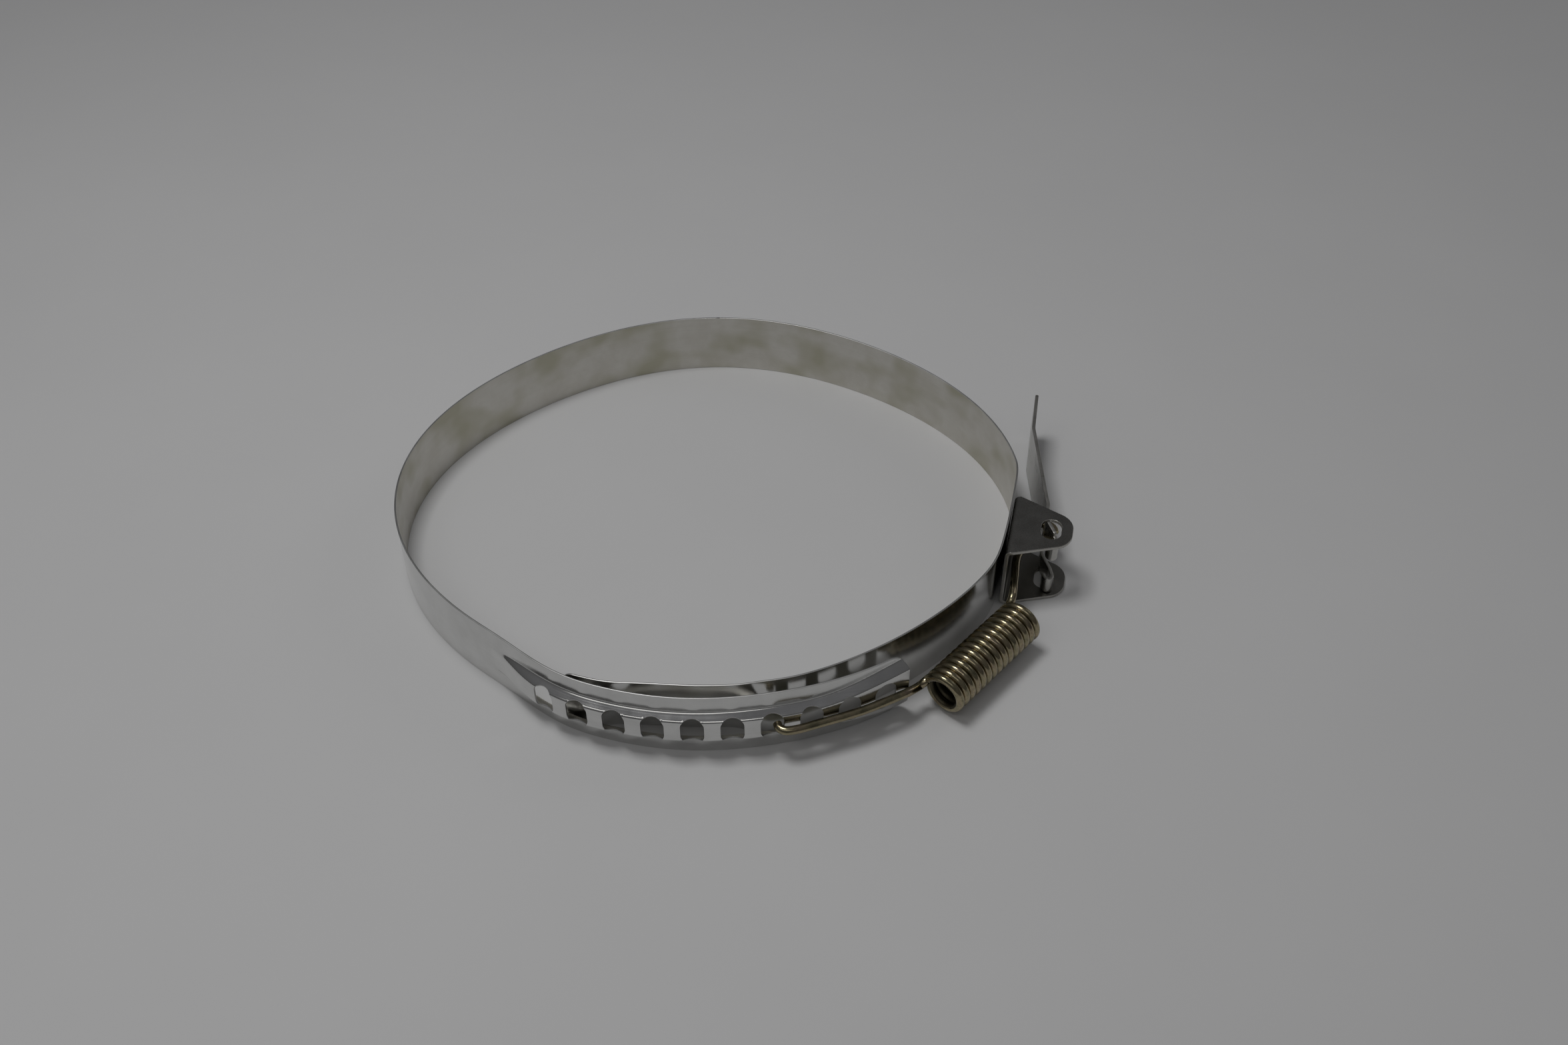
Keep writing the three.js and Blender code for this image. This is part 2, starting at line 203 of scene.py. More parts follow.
def outward_normals(surface, uv, step):
    """Unit normals of a mapped surface, by differences."""
    du, dv = np.array([step[0], 0]), np.array([0, step[1]])
    across = surface(uv + du) - surface(uv - du)
    along = surface(uv + dv) - surface(uv - dv)
    normal = np.cross(across, along)
    return normal / np.linalg.norm(normal, axis=1)[:, None]


def finish_mesh(name, vertices, normals, faces, slots, materials, uvs):
    """An object from millimetre vertices, with its own normals and a flat layer of texture places."""
    mesh = bpy.data.meshes.new(name)
    mesh.from_pydata(((vertices + HOOP_CENTRE) * MM).tolist(), [], faces)
    for material in materials:
        mesh.materials.append(material)
    mesh.polygons.foreach_set("material_index", slots)
    layer = mesh.uv_layers.new(name="flat")
    loops = np.empty(len(mesh.loops), int)
    mesh.loops.foreach_get("vertex_index", loops)
    layer.data.foreach_set("uv", uvs[loops].ravel())
    mesh.shade_smooth()
    mesh.normals_split_custom_set_from_vertices(normals.tolist())
    mesh.update()
    made = bpy.data.objects.new(name, mesh)
    bpy.context.scene.collection.objects.link(made)
    return made


def sheet(name, flat_mesh, surface, thickness, materials, roundness=0.45, square=(), step=(0.02, 0.02)):
    """A closed piece of sheet metal: the flat mesh's two mapped sides, and a rounded rim round every
    free edge. square holds the numbers of flat points on an edge that butts, which stays square."""
    uv, faces = flat_mesh
    count = len(uv)
    middle = surface(uv)
    normal = outward_normals(surface, uv, step)
    half = thickness / 2
    vertices = [middle + normal * half, middle - normal * half]
    normals = [normal, -normal]
    built = [tuple(f) for f in faces] + [tuple(i + count for i in reversed(f)) for f in faces]
    slots = [0] * len(faces) + [1] * len(faces)
    flat = [uv, uv]

    edges = {}
    for f in faces:
        for i, a in enumerate(f):
            b = f[(i + 1) % len(f)]
            if (b, a) in edges:
                del edges[(b, a)]
            else:
                edges[(a, b)] = True
    following = {a: b for a, b in edges}
    before = {b: a for a, b in edges}
    ring = sorted(following)
    place = {v: i for i, v in enumerate(ring)}
    nxt = np.array([following[v] for v in ring])
    prv = np.array([before[v] for v in ring])
    ids = np.array(ring)
    tangent = middle[nxt] - middle[prv]
    tangent /= np.linalg.norm(tangent, axis=1)[:, None]
    out = np.cross(tangent, normal[ids])
    bulge = np.array([0.0 if v in square else roundness for v in ring])[:, None]
    turns = [60, 30, 0, -30, -60]
    base = 2 * count
    for i, turn in enumerate(turns):
        c, s = math.cos(math.radians(turn)), math.sin(math.radians(turn))
        vertices.append(middle[ids] + out * half * bulge * c + normal[ids] * half * s)
        rim = out * c / np.maximum(bulge, 0.2) + normal[ids] * s
        normals.append(rim / np.linalg.norm(rim, axis=1)[:, None])
        flat.append(uv[ids])
    rows = [ids] + [base + i * len(ring) + np.arange(len(ring)) for i in range(len(turns))] + [ids + count]
    for upper, lower in zip(rows, rows[1:]):
        for k, v in enumerate(ring):
            j = place[following[v]]
            built.append((int(upper[k]), int(lower[k]), int(lower[j]), int(upper[j])))
            slots.append(2)
    vertices, normals, flat = np.vstack(vertices), np.vstack(normals), np.vstack(flat)
    return finish_mesh(name, vertices, normals, built, slots, materials, flat)


def inside(points, loop):
    """Which points lie in a closed outline."""
    x, y = points[:, 0], points[:, 1]
    hit = np.zeros(len(points), bool)
    for (x0, y0), (x1, y1) in zip(loop, np.roll(loop, -1, axis=0)):
        if y0 == y1:
            continue
        hit ^= ((y0 > y) != (y1 > y)) & (x < (x1 - x0) * (y - y0) / (y1 - y0) + x0)
    return hit


def distance(points, loop):
    """How far each point is from the line of a closed outline."""
    best = np.full(len(points), 1e9)
    for a, b in zip(loop, np.roll(loop, -1, axis=0)):
        d = b - a
        t = np.clip(((points - a) @ d) / max(d @ d, 1e-12), 0, 1)
        best = np.minimum(best, np.linalg.norm(points - a - t[:, None] * d, axis=1))
    return best


def trimmed(outline, holes, columns, rows, clear):
    """A flat mesh of an outline with holes, on a regular grid of points away from the edges."""
    loops = [np.asarray(outline, float)] + [np.asarray(h, float) for h in holes]
    grid = np.array([(x, y) for x in columns for y in rows])
    keep = inside(grid, loops[0])
    for loop in loops[1:]:
        low, high = loop.min(0) - clear, loop.max(0) + clear
        close = ((grid > low) & (grid < high)).all(1)
        close[close] = inside(grid[close], loop) | (distance(grid[close], loop) < clear)
        keep &= ~close
    keep[keep] = distance(grid[keep], loops[0]) >= clear
    grid = grid[keep]
    points, edges = [], []
    for loop in loops:
        first = len(points)
        points += loop.tolist()
        edges += [(first + i, first + (i + 1) % len(loop)) for i in range(len(loop))]
    points += grid.tolist()
    verts, _, faces, *_ = geometry.delaunay_2d_cdt([Vector(p) for p in points], edges, [], 0, 1e-6)
    uv = np.array([tuple(v) for v in verts])
    middles = np.array([uv[list(f)].mean(0) for f in faces])
    good = inside(middles, loops[0])
    for loop in loops[1:]:
        good &= ~inside(middles, loop)
    kept = []
    for f, ok in zip(faces, good):
        if not ok:
            continue
        a, b, c = uv[f[0]], uv[f[1]], uv[f[2]]
        area = (b[0] - a[0]) * (c[1] - a[1]) - (b[1] - a[1]) * (c[0] - a[0])
        kept.append(tuple(f) if area > 0 else tuple(reversed(f)))
    return uv, kept


def arc(cx, cy, radius, start, end, count, squash=1.0):
    """Points of an arc between two angles in degrees, scaled along x by squash."""
    turn = np.radians(np.linspace(start, end, count))
    return [(cx + radius * squash * math.cos(t), cy + radius * math.sin(t)) for t in turn]


def even_edges(loop, longest):
    """The outline with long edges split."""
    out = []
    for a, b in zip(loop, loop[1:] + loop[:1]):
        n = max(1, math.ceil(math.dist(a, b) / longest))
        out += [(a[0] + (b[0] - a[0]) * i / n, a[1] + (b[1] - a[1]) * i / n) for i in range(n)]
    return out


# ---------------------------------------------------------------- materials

def node_material(name):
    """A new material, its node tree and its shader."""
    material = bpy.data.materials.new(name)
    material.use_nodes = True
    tree = material.node_tree
    tree.nodes.clear()
    out = tree.nodes.new("ShaderNodeOutputMaterial")
    shader = tree.nodes.new("ShaderNodeBsdfPrincipled")
    tree.links.new(shader.outputs[0], out.inputs[0])
    return material, tree, shader


def mapped(tree, source, scale):
    """Texture coordinates of a layer, scaled."""
    coords = tree.nodes.new("ShaderNodeTexCoord")
    mapping = tree.nodes.new("ShaderNodeMapping")
    mapping.inputs["Scale"].default_value = scale
    tree.links.new(coords.outputs[source], mapping.inputs[0])
    return mapping.outputs[0]


def noise(tree, vector, scale, detail, rough):
    """Noise over a layer of coordinates."""
    made = tree.nodes.new("ShaderNodeTexNoise")
    made.inputs["Scale"].default_value = scale
    made.inputs["Detail"].default_value = detail
    made.inputs["Roughness"].default_value = rough
    tree.links.new(vector, made.inputs["Vector"])
    return made.outputs["Fac"]


def ramp(tree, factor, stops):
    """A colour ramp from (place, colour) stops."""
    made = tree.nodes.new("ShaderNodeValToRGB")
    while len(made.color_ramp.elements) < len(stops):
        made.color_ramp.elements.new(0.5)
    for element, (at, colour) in zip(made.color_ramp.elements, stops):
        element.position = at
        element.color = (*colour, 1)
    tree.links.new(factor, made.inputs[0])
    return made.outputs[0]


def spread(tree, factor, low, high, start, end):
    """A value carried from start..end to low..high."""
    made = tree.nodes.new("ShaderNodeMapRange")
    made.inputs["From Min"].default_value = start
    made.inputs["From Max"].default_value = end
    made.inputs["To Min"].default_value = low
    made.inputs["To Max"].default_value = high
    tree.links.new(factor, made.inputs["Value"])
    return made.outputs[0]


def blended(tree, kind, factor, a, b):
    """Two colours mixed; each is a socket or a fixed colour."""
    made = tree.nodes.new("ShaderNodeMix")
    made.data_type = "RGBA"
    made.blend_type = kind
    for socket, value in (("Factor", factor), ("A", a), ("B", b)):
        target = [s for s in made.inputs if s.name == socket and s.enabled][0]
        if isinstance(value, (int, float)):
            target.default_value = value
        elif isinstance(value, tuple):
            target.default_value = (*value, 1)
        else:
            tree.links.new(value, target)
    return [s for s in made.outputs if s.enabled][0]


def total(tree, a, b, kind="ADD"):
    """Two values added or multiplied; each is a socket or a number."""
    made = tree.nodes.new("ShaderNodeMath")
    made.operation = kind
    for socket, value in zip(made.inputs, (a, b)):
        if isinstance(value, (int, float)):
            socket.default_value = value
        else:
            tree.links.new(value, socket)
    return made.outputs[0]


def bumped(tree, shader, height, strength, depth):
    """A height felt by the shader as a bump."""
    made = tree.nodes.new("ShaderNodeBump")
    made.inputs["Strength"].default_value = strength
    made.inputs["Distance"].default_value = depth
    tree.links.new(height, made.inputs["Height"])
    tree.links.new(made.outputs[0], shader.inputs["Normal"])


def steel(name, light, dark, rough, mottle, lines, stain=None):
    """Rolled strip: fine lines along it, cloudy patches, and a few stains."""
    material, tree, shader = node_material(name)
    shader.inputs["Metallic"].default_value = 1.0
    clouds = noise(tree, mapped(tree, "UV", (1, 1, 1)), 0.11, 5, 0.6)
    grain = noise(tree, mapped(tree, "UV", (0.03, 7.0, 1)), 1.0, 4, 0.65)
    fine = noise(tree, mapped(tree, "UV", (1, 1, 1)), 2.2, 4, 0.6)
    base = ramp(tree, clouds, [(0.36, dark), (0.62, light)])
    if stain:
        patches = noise(tree, mapped(tree, "UV", (0.75, 1.0, 1)), 0.07, 2, 0.5)
        base = blended(tree, "MIX", spread(tree, patches, 0, 0.8, 0.46, 0.66), base, stain)
    streaks = ramp(tree, grain, [(0.3, (0.82, 0.82, 0.82)), (0.7, (1, 1, 1))])
    base = blended(tree, "MULTIPLY", 0.5, base, streaks)
    tree.links.new(base, shader.inputs["Base Color"])
    cloudy = spread(tree, clouds, rough - mottle, rough + mottle, 0.3, 0.7)
    roughness = total(tree, cloudy, spread(tree, grain, -0.02, 0.05, 0.3, 0.7))
    tree.links.new(roughness, shader.inputs["Roughness"])
    height = total(tree, total(tree, grain, lines, "MULTIPLY"), total(tree, fine, 0.5, "MULTIPLY"))
    bumped(tree, shader, height, 0.25, 0.00002)
    return material


def dull_sheet(name, light, dark, rough):
    """Pressed sheet with a satin, slightly grubby skin."""
    material, tree, shader = node_material(name)
    shader.inputs["Metallic"].default_value = 1.0
    clouds = noise(tree, mapped(tree, "UV", (1, 1, 1)), 0.16, 5, 0.6)
    fine = noise(tree, mapped(tree, "UV", (1, 1, 1)), 2.5, 5, 0.65)
    grain = noise(tree, mapped(tree, "UV", (5.0, 0.08, 1)), 1.0, 3, 0.6)
    base = ramp(tree, clouds, [(0.35, dark), (0.65, light)])
    specks = ramp(tree, fine, [(0.3, (0.75, 0.74, 0.72)), (0.62, (1, 1, 1))])
    base = blended(tree, "MULTIPLY", 0.4, base, specks)
    tree.links.new(base, shader.inputs["Base Color"])
    cloudy = spread(tree, clouds, rough - 0.06, rough + 0.06, 0.3, 0.7)
    roughness = total(tree, cloudy, spread(tree, fine, -0.05, 0.07, 0.3, 0.7))
    tree.links.new(roughness, shader.inputs["Roughness"])
    bumped(tree, shader, total(tree, fine, total(tree, grain, 0.5, "MULTIPLY")), 0.35, 0.00003)
    return material


def zinc_yellow(name):
    """Yellow-passivated wire: gold with olive and rosy drifts, drawn lines and small dull spots."""
    material, tree, shader = node_material(name)
    shader.inputs["Metallic"].default_value = 1.0
    drift = noise(tree, mapped(tree, "UV", (0.25, 0.6, 1)), 0.9, 4, 0.6)
    spots = noise(tree, mapped(tree, "UV", (1, 1, 1)), 1.7, 5, 0.7)
    drawn = noise(tree, mapped(tree, "UV", (0.05, 5.0, 1)), 1.0, 3, 0.6)
    olive, straw = (0.18, 0.17, 0.11), (0.35, 0.31, 0.20)
    gold, rosy = (0.42, 0.355, 0.235), (0.29, 0.235, 0.18)
    base = ramp(tree, drift, [(0.3, olive), (0.45, straw), (0.56, gold), (0.7, rosy)])
    dulled = ramp(tree, spots, [(0.32, (0.5, 0.5, 0.48)), (0.55, (1, 1, 1))])
    base = blended(tree, "MULTIPLY", 0.7, base, dulled)
    tree.links.new(base, shader.inputs["Base Color"])
    spotty = spread(tree, spots, 0.26, 0.15, 0.3, 0.65)
    roughness = total(tree, spotty, spread(tree, drawn, -0.03, 0.05, 0.3, 0.7))
    tree.links.new(roughness, shader.inputs["Roughness"])
    bumped(tree, shader, total(tree, drawn, total(tree, spots, 0.4, "MULTIPLY")), 0.2, 0.00003)
    return material


strip_outside = steel("strip_outside", (0.72, 0.72, 0.71), (0.65, 0.65, 0.64), 0.12, 0.03, 0.6)
strip_inside = steel(
    "strip_inside", (0.68, 0.665, 0.62), (0.61, 0.59, 0.54), 0.38, 0.05, 0.8, stain=(0.46, 0.445, 0.34)
)
strip_edge = steel("strip_edge", (0.56, 0.56, 0.55), (0.48, 0.48, 0.47), 0.38, 0.04, 0.5)
sheet_metal = dull_sheet("bracket_sheet", (0.27, 0.265, 0.25), (0.24, 0.235, 0.22), 0.27)
# Painted shade: a darker copy of the bracket's sheet for its inner side, inside the channel between the ears
sheet_painted_shade = dull_sheet("bracket_inside_painted_shade", (0.24, 0.235, 0.215), (0.19, 0.185, 0.17), 0.4)
sheet_edge = dull_sheet("bracket_edge", (0.55, 0.54, 0.51), (0.47, 0.46, 0.43), 0.34)
lever_metal = dull_sheet("lever_sheet", (0.53, 0.525, 0.5), (0.46, 0.455, 0.43), 0.22)
wire_metal = zinc_yellow("spring_wire")
# Painted shade: a darker, rougher copy of the wire for the faces inside the coil, where little light reaches
wire_painted_shade = dull_sheet("spring_wire_painted_shade", (0.13, 0.115, 0.08), (0.09, 0.08, 0.055), 0.5)
strip_materials = [strip_outside, strip_inside, strip_edge]


# ---------------------------------------------------------------- strip

def seam_points(uv):
    """Numbers of the flat points on the butted seam at the back, short of its corners."""
    on_seam = (np.abs(uv[:, 0] - SEAM * PER_DEGREE) < 1e-6) & (uv[:, 1] > 0.2) & (uv[:, 1] < WIDTH - 0.2)
    return set(np.flatnonzero(on_seam).tolist())


def latch_side():
    """The tongue and the latch side in one piece, from the rounded tip to the seam at the back."""
    tip = 3.2
    outline = [(SEAM, EDGE), (SEAM, WIDTH - EDGE)]
    reach = TONGUE_TIP + tip / PER_DEGREE
    outline += arc(reach, WIDTH - EDGE - tip, tip, 90, 180, 14, 1 / PER_DEGREE)
    outline += arc(reach, EDGE + tip, tip, 180, 270, 14, 1 / PER_DEGREE)
    outline = [(a * PER_DEGREE, z) for a, z in outline]
    outline = even_edges(outline, 0.8)
    columns = np.arange(TONGUE_TIP * PER_DEGREE, SEAM * PER_DEGREE, 0.9)
    fine = np.arange((SEAT_ANGLE - 6) * PER_DEGREE, (SEAT_ANGLE + 6) * PER_DEGREE, 0.4)
    columns = np.unique(np.round(np.concatenate([columns, fine]), 3))
    rows = np.linspace(0.8, WIDTH - 0.8, 24)
    flat = trimmed(outline, [], columns, rows, 0.3)
    surface = lambda p: latch_surface(np.column_stack([p[:, 0] / PER_DEGREE, p[:, 1]]))
    return sheet("strip_latch_side", flat, surface, STRIP, strip_materials, square=seam_points(flat[0]))


def slot_outline(angle):
    """A punched slot whose ends wrap on to the walls, so they look shorter."""
    radius, straight = 3.05, 1.5
    foot, web = wall_edges(angle)
    wrap = (foot - web) / math.hypot(foot - web, RISE)
    centre = (angle + 360) * PER_DEGREE
    loop = []
    for turn in np.linspace(0, 2 * math.pi, 72, endpoint=False):
        up = radius * math.sin(turn) + math.copysign(straight, math.sin(turn))
        height = abs(up) if abs(up) < web else web + (abs(up) - web) * wrap
        loop.append((centre + radius * math.cos(turn), MIDDLE + math.copysign(height, up)))
    return even_edges(loop, 0.5)


def rail_side():
    """The back left, the left side and the embossed, slotted rail in one piece."""
    corner = 4.0
    reach = RAIL_END - corner / PER_DEGREE
    outline = [(SEAM, WIDTH - EDGE), (SEAM, EDGE)]
    outline += arc(reach, EDGE + corner, corner, 270, 360, 18, 1 / PER_DEGREE)
    outline += arc(reach, WIDTH - EDGE - corner, corner, 0, 90, 18, 1 / PER_DEGREE)
    outline = even_edges([(a * PER_DEGREE, z) for a, z in outline], 0.8)
    plain = np.arange(SEAM * PER_DEGREE, RAIL_FORMED * PER_DEGREE, 0.9)
    formed = np.arange(RAIL_FORMED * PER_DEGREE, RAIL_END * PER_DEGREE, 0.42)
    columns = np.concatenate([plain, formed])
    flange_rows = np.linspace(0.5, 3.5, 13)
    bend_rows = np.arange(3.65, 7.2, 0.14)
    web_rows = np.linspace(7.4, MIDDLE, 10)
    lower = np.concatenate([flange_rows, bend_rows, web_rows])
    rows = np.concatenate([lower, WIDTH - lower[-2::-1]])
    flat = trimmed(outline, [slot_outline(a) for a in SLOTS], columns, rows, 0.2)
    surface = lambda p: rail_surface(np.column_stack([p[:, 0] / PER_DEGREE, p[:, 1]]))
    return sheet("strip_rail_side", flat, surface, STRIP, strip_materials, square=seam_points(flat[0]))


latch_piece = latch_side()
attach(latch_piece, "latch_band")
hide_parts("tongue_strip", "band_latch_side")

rail_piece = rail_side()
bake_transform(rail_piece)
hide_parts("band_rail_side", "hook_rail")


# ---------------------------------------------------------------- folded sheet

def folded(path, radius, count):
    """A line between points [x, y], with its corners rounded by that many points each."""
    path = [np.array(p, float) for p in path]
    out = [path[0]]
    for a, b, c in zip(path, path[1:], path[2:]):
        before, after = a - b, c - b
        lb, la = np.linalg.norm(before), np.linalg.norm(after)
        turn = math.acos(np.clip(-(before @ after) / (lb * la), -1, 1))
        back = min(radius * math.tan(turn / 2), 0.48 * lb, 0.48 * la)
        start, end = b + before / lb * back, b + after / la * back
        for t in np.linspace(0, 1, count):
            out.append((1 - t) ** 2 * start + 2 * t * (1 - t) * b + t * t * end)
    out.append(path[-1])
    return np.array(out)


class Line:
    """A flat line by length along it."""

    def __init__(self, points):
        steps = np.linalg.norm(np.diff(points, axis=0), axis=1)
        keep = np.concatenate([[True], steps > 1e-6])
        self.points = points[keep]
        self.at = np.concatenate([[0], np.cumsum(np.linalg.norm(np.diff(self.points, axis=0), axis=1))])
        self.length = self.at[-1]

    def __call__(self, s):
        """Points at lengths along the line, straight on past its ends."""
        inner = np.clip(s, 0, self.length)
        x = np.interp(inner, self.at, self.points[:, 0])
        y = np.interp(inner, self.at, self.points[:, 1])
        first = (self.points[1] - self.points[0]) / (self.at[1] - self.at[0])
        last = (self.points[-1] - self.points[-2]) / (self.at[-1] - self.at[-2])
        under, over = np.minimum(s, 0), np.maximum(s - self.length, 0)
        return np.column_stack([x, y]) + under[:, None] * first + over[:, None] * last

    def nearest(self, x, y):
        """Length along the line at its nearest place to a point."""
        s = np.linspace(0, self.length, 4000)
        return s[np.linalg.norm(self(s) - np.array([x, y]), axis=1).argmin()]


def seat(out, along):
    """Plan points by distance out from the bracket's inner face and along it."""
    turn = math.radians(SEAT_ANGLE)
    x = SEAT_OUT + out
    return np.column_stack(
        [x * math.cos(turn) - along * math.sin(turn), x * math.sin(turn) + along * math.cos(turn)]
    )


def bracket():
    """The pressed bracket, unfolded to a flat outline and bent up: ear, base, ear."""
    middle, bend, bend_length = SHEET / 2, 1.1, 1.73
    corner = middle + bend
    section = [(REACH, middle), (corner, middle)]
    section += arc(corner, corner, bend, 270, 180, 9)
    section += arc(corner, WIDTH - corner, bend, 180, 90, 9)
    section += [(REACH, WIDTH - middle)]
    line = Line(np.array(section))
    half = BRACKET_LENGTH / 2 - SHEET_RIM
    lug = LUG - SHEET_RIM
    low_fold = REACH - corner
    high_fold = line.length - low_fold
    low_pivot = REACH - PIVOT
    high_pivot = line.length - low_pivot

    def ear(centre, sign):
        """Points round a lug, which points up (1) or down (-1) the unfolded sheet."""
        tail_side = arc(0, -LUG_STRAIGHT, lug, LUG_LEAN - 90, 0, 14)
        hook_side = arc(0, LUG_STRAIGHT, lug, 0, 90 - LUG_LEAN, 14)
        return [(centre + sign * x, y) for x, y in tail_side + hook_side]

    def hole(centre):
        """A pivot hole, longer along the strip by twice the play."""
        loop = arc(centre, PLAY, HOLE_RADIUS, 0, 180, 22) + arc(centre, -PLAY, HOLE_RADIUS, 180, 360, 22)
        return even_edges(loop, 0.6)

    outline = [(low_fold, -half), (high_fold, -half)] + ear(high_pivot, 1)
    outline += [(high_fold, half), (low_fold, half)] + ear(low_pivot, -1)[::-1]
    outline = even_edges(outline, 0.7)
    columns = np.concatenate(
        [
            np.arange(0.4, low_fold - 0.2, 0.7),
            np.linspace(low_fold, low_fold + bend_length, 9),
            np.arange(low_fold + 2.3, high_fold - 2.2, 0.8),
            np.linspace(high_fold - bend_length, high_fold, 9),
            np.arange(high_fold + 0.4, line.length, 0.7),
        ]
    )
    rows = np.linspace(-half + 0.5, half - 0.5, 34)
    flat = trimmed(outline, [hole(low_pivot), hole(high_pivot)], columns, rows, 0.28)

    def surface(p):
        """The bent sheet's middle; p is the length along the section and the place along the strip."""
        xz = line(p[:, 0])
        plan = seat(xz[:, 0], p[:, 1])
        return np.column_stack([plan, xz[:, 1]])

    # The inner side, inside the channel, takes the painted-shade copy of the sheet
    materials = [sheet_metal, sheet_painted_shade, sheet_edge]
    made = sheet("pressed_bracket", flat, surface, SHEET, materials, roundness=0.3, step=(0.05, 0.05))
    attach(made, "latch_band")
    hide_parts("latch_bracket")


bracket()

# Where the lever turns and where the wire's round hook sits, in plan
pivot = seat(np.array([PIVOT]), np.array([PLAY]))[0]
swivel = pivot + np.array([0.1, 9.0])

# The lever's plan line from the pivot, from its curled end to its tip
LEVER_LINE = [
    (-1.4, -4.4), (-1.4, -6), (-0.3, -7), (0.9, -6.3), (0.7, -2.7), (0, 0), (-0.9, 3.6),
    (-0.4, 6.5), (0.6, 11), (0.5, 15), (0.6, 45.8), (3.9, 63.4),
]


def lever():
    """The handle, cut flat with tabs, a window open to its curled end and a hook hole, then bent."""
    low, high, tip = 1.5, WIDTH - 1.5, 2.4
    tab, tab_end = 2.55, 0.3
    window_low, window_high, window_corner = 6.3, 13.7, 1.2
    hole_low, hole_high, hole_corner, hole_length = 8, 12, 0.9, 3.5
    line = Line(folded(LEVER_LINE, 5.0, 9))
    here = line.nearest(0, 0)
    window_end = line.nearest(0.1, 7.6)
    hole_start = line.nearest(0.6, 10.3)
    hole_end = hole_start + hole_length
    end = line.length - EDGE
    outline = [(EDGE, low), (here - tab, low), (here - tab, tab_end)]
    outline += [(here + tab, tab_end), (here + tab, low)]
    outline += arc(end - tip, low + tip, tip, -90, 0, 16)
    outline += arc(end - tip, high - tip, tip, 0, 90, 16)
    outline += [(here + tab, high), (here + tab, WIDTH - tab_end), (here - tab, WIDTH - tab_end)]
    outline += [(here - tab, high), (EDGE, high), (EDGE, window_high)]
    outline += arc(window_end - window_corner, window_high - window_corner, window_corner, 90, 0, 7)
    outline += arc(window_end - window_corner, window_low + window_corner, window_corner, 0, -90, 7)
    outline += [(EDGE, window_low)]
    outline = even_edges(outline, 0.6)
    right, left = hole_end - hole_corner, hole_start + hole_corner
    top, bottom = hole_high - hole_corner, hole_low + hole_corner
    hole = arc(right, top, hole_corner, 0, 90, 7) + arc(left, top, hole_corner, 90, 180, 7)
    hole += arc(left, bottom, hole_corner, 180, 270, 7) + arc(right, bottom, hole_corner, 270, 360, 7)
    columns = np.arange(0.4, line.length, 0.45)
    rows = np.linspace(low + 0.4, high - 0.4, 30)
    flat = trimmed(outline, [even_edges(hole, 0.6)], columns, rows, 0.26)

    def surface(p):
        """The bent sheet's middle; p is the length along the line and the height."""
        plan = line(p[:, 0]) + pivot
        return np.column_stack([plan, p[:, 1]])

    materials = [lever_metal, lever_metal, sheet_edge]
    made = sheet("lever_handle", flat, surface, SHEET, materials, roundness=0.3, step=(0.12, 0.05))
    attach(made, "lever")
    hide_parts("lever")


lever()


# ---------------------------------------------------------------- spring

def coil_point(turns):
    """A point of the coil's middle line, after a number of turns."""
    turn = math.radians(COIL_LEAVE) + 2 * math.pi * turns
    return (
        COIL_START
        + COIL_AXIS * COIL_PITCH * turns
        + COIL_SIDE * COIL_RADIUS * math.cos(turn)
        + UP * COIL_RADIUS * math.sin(turn)
    )


def smooth_line(points, per_span):
    """A centripetal Catmull-Rom line through points."""
    points = [np.array(p, float) for p in points]
    ends = [2 * points[0] - points[1]] + points + [2 * points[-1] - points[-2]]
    out = []
    for p0, p1, p2, p3 in zip(ends, ends[1:], ends[2:], ends[3:]):
        t = [0.0]
        for a, b in ((p0, p1), (p1, p2), (p2, p3)):
            t.append(t[-1] + max(np.linalg.norm(b - a), 1e-6) ** 0.5)
        for s in np.linspace(t[1], t[2], per_span, endpoint=False):
            a1 = (t[1] - s) / (t[1] - t[0]) * p0 + (s - t[0]) / (t[1] - t[0]) * p1
            a2 = (t[2] - s) / (t[2] - t[1]) * p1 + (s - t[1]) / (t[2] - t[1]) * p2
            a3 = (t[3] - s) / (t[3] - t[2]) * p2 + (s - t[2]) / (t[3] - t[2]) * p3
            b1 = (t[2] - s) / (t[2] - t[0]) * a1 + (s - t[0]) / (t[2] - t[0]) * a2
            b2 = (t[3] - s) / (t[3] - t[1]) * a2 + (s - t[1]) / (t[3] - t[1]) * a3
            out.append((t[2] - s) / (t[2] - t[1]) * b1 + (s - t[1]) / (t[2] - t[1]) * b2)
    return out + [points[-1]]


def rail_out(lift, aside):
    """A point at mid height, lifted off the rail's web and some degrees past the hooked slot."""
    angle = np.array([SLOTS[HOOKED_SLOT] + aside])
    base = rail_lift(angle) + RISE
    return hoop_point(angle, base + lift, np.array([MIDDLE]))[0]


def hook_leg():
    """The leg from inside a rail slot, by a tight bend, to the coil's first turn."""
    along = coil_point(0.01) - coil_point(-0.01)
    along /= np.linalg.norm(along)
    end = coil_point(0) - along * 0.05
    radius = 1.6

    def bend(degrees):
        """A point of the tight bend, which ends just short of the first turn."""
        turn = math.radians(degrees)
        return end - along * (0.5 + radius * (1 - math.sin(turn))) - COIL_AXIS * radius * math.cos(turn)

    points = [
        rail_out(-0.6, 0.9), rail_out(0.8, 1.0), rail_out(2.0, 1.8),
        rail_out(2.3, 3.4), rail_out(1.85, 8), rail_out(1.8, 15),
        (50.6, -74.9, 10), (53.6, -72.9, 9.6),
        bend(0), bend(30), bend(60), bend(90),
    ]
    return smooth_line(points, 8)


